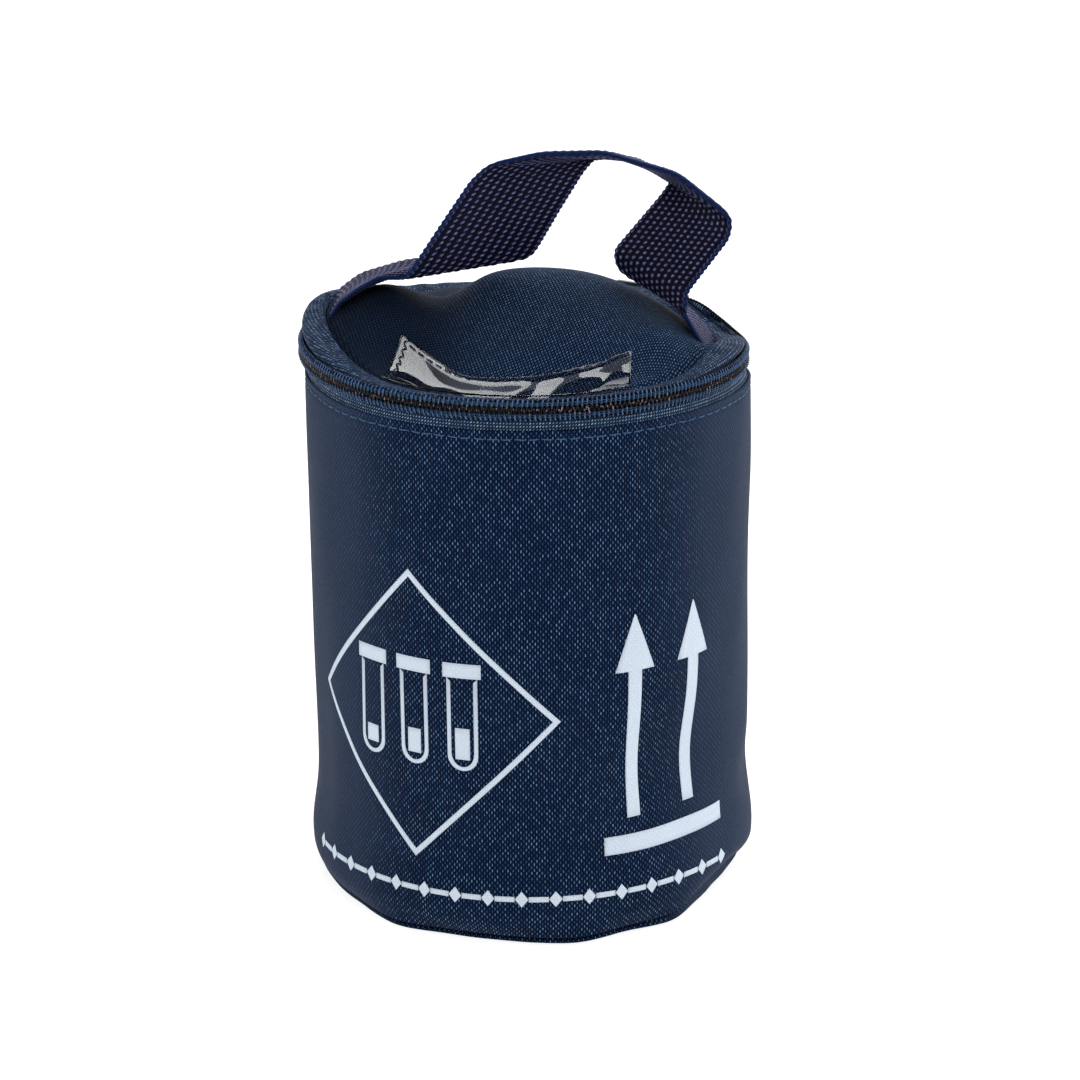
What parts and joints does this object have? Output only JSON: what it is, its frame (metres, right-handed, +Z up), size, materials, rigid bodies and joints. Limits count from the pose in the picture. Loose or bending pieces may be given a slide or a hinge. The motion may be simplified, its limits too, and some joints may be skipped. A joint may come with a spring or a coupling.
{
  "type": "specimen transport bag",
  "caption": "Round padded cloth bag with a zipped domed lid, cloth hinge, clear label pocket and webbing handle, for carrying sample tubes upright.",
  "frame": {"origin": "on the floor, under the middle of the round base", "axes": "+Z up through the lid, -Y towards the printed front, +Y towards the lid's cloth hinge, +X to the right seen from the front"},
  "size_m": [0.123, 0.1219, 0.2014],
  "materials": {
    "wall_cloth": "coated polyester, plain weave",
    "lid_cloth": "coated polyester, plain weave",
    "zip_tape": "fine woven tape with a slight sheen",
    "zip_coil": "dyed nylon monofilament",
    "foam": "closed-cell foam sheet",
    "lining": "smooth lining",
    "binding": "woven binding tape",
    "board": "thin plastic board",
    "thread": "sewing thread",
    "clear_sheet": "clear soft sheet",
    "webbing": "polypropylene webbing",
    "slider_metal": "enamelled zinc"
  },
  "bodies": {
    "bag": {"base_panel": "wall_cloth", "base_board": "board", "base_seam_binding": "binding", "base_foam": "foam", "base_lining": "lining", "body_wall": "wall_cloth", "wall_foam": "foam", "wall_lining": "lining", "back_seam_binding": "binding", "wall_topstitch": "thread", "lower_zip_tape": "zip_tape", "lower_zip_coil": "zip_coil", "lower_end_stops": "zip_coil", "hinge_cloth_lower": "zip_tape"},
    "lid": {"upper_zip_tape": "zip_tape", "upper_zip_coil": "zip_coil", "upper_end_stops": "zip_coil", "hinge_cloth_upper": "zip_tape", "lid_panel": "lid_cloth", "lid_foam": "foam", "lid_lining": "lining", "lid_seam_binding": "binding", "label_window": "clear_sheet", "window_stitches": "thread", "handle_root_left": "webbing", "handle_root_right": "webbing"},
    "handle": {"handle_loop": "webbing"},
    "slider": {"slider_body": "slider_metal", "slider_crown": "slider_metal"},
    "pull_tab": {"pull_tab": "slider_metal"}
  },
  "joints": [
    {"name": "lid_hinge", "type": "hinge", "parent": "bag", "child": "lid", "pos_m": [0, 0.06, 0.15], "axis": [-1, 0, 0], "range_deg": [0, 160]},
    {"name": "handle_swing", "type": "hinge", "parent": "lid", "child": "handle", "pos_m": [0.0079, 0.00125, 0.1698], "axis": [0.9988, 0.01, -0.0481], "range_deg": [-85, 80], "deforming": ["handle_root_left", "handle_root_right"]},
    {"name": "slider_run", "type": "hinge", "parent": "bag", "child": "slider", "pos_m": [0, 0, 0.148], "axis": [0, 0, -1], "range_deg": [0, 279.5]},
    {"name": "pull_tab_swing", "type": "hinge", "parent": "slider", "child": "pull_tab", "pos_m": [0.04151, 0.04909, 0.148], "axis": [0, 0, -1], "range_deg": [0, 160]}
  ]
}
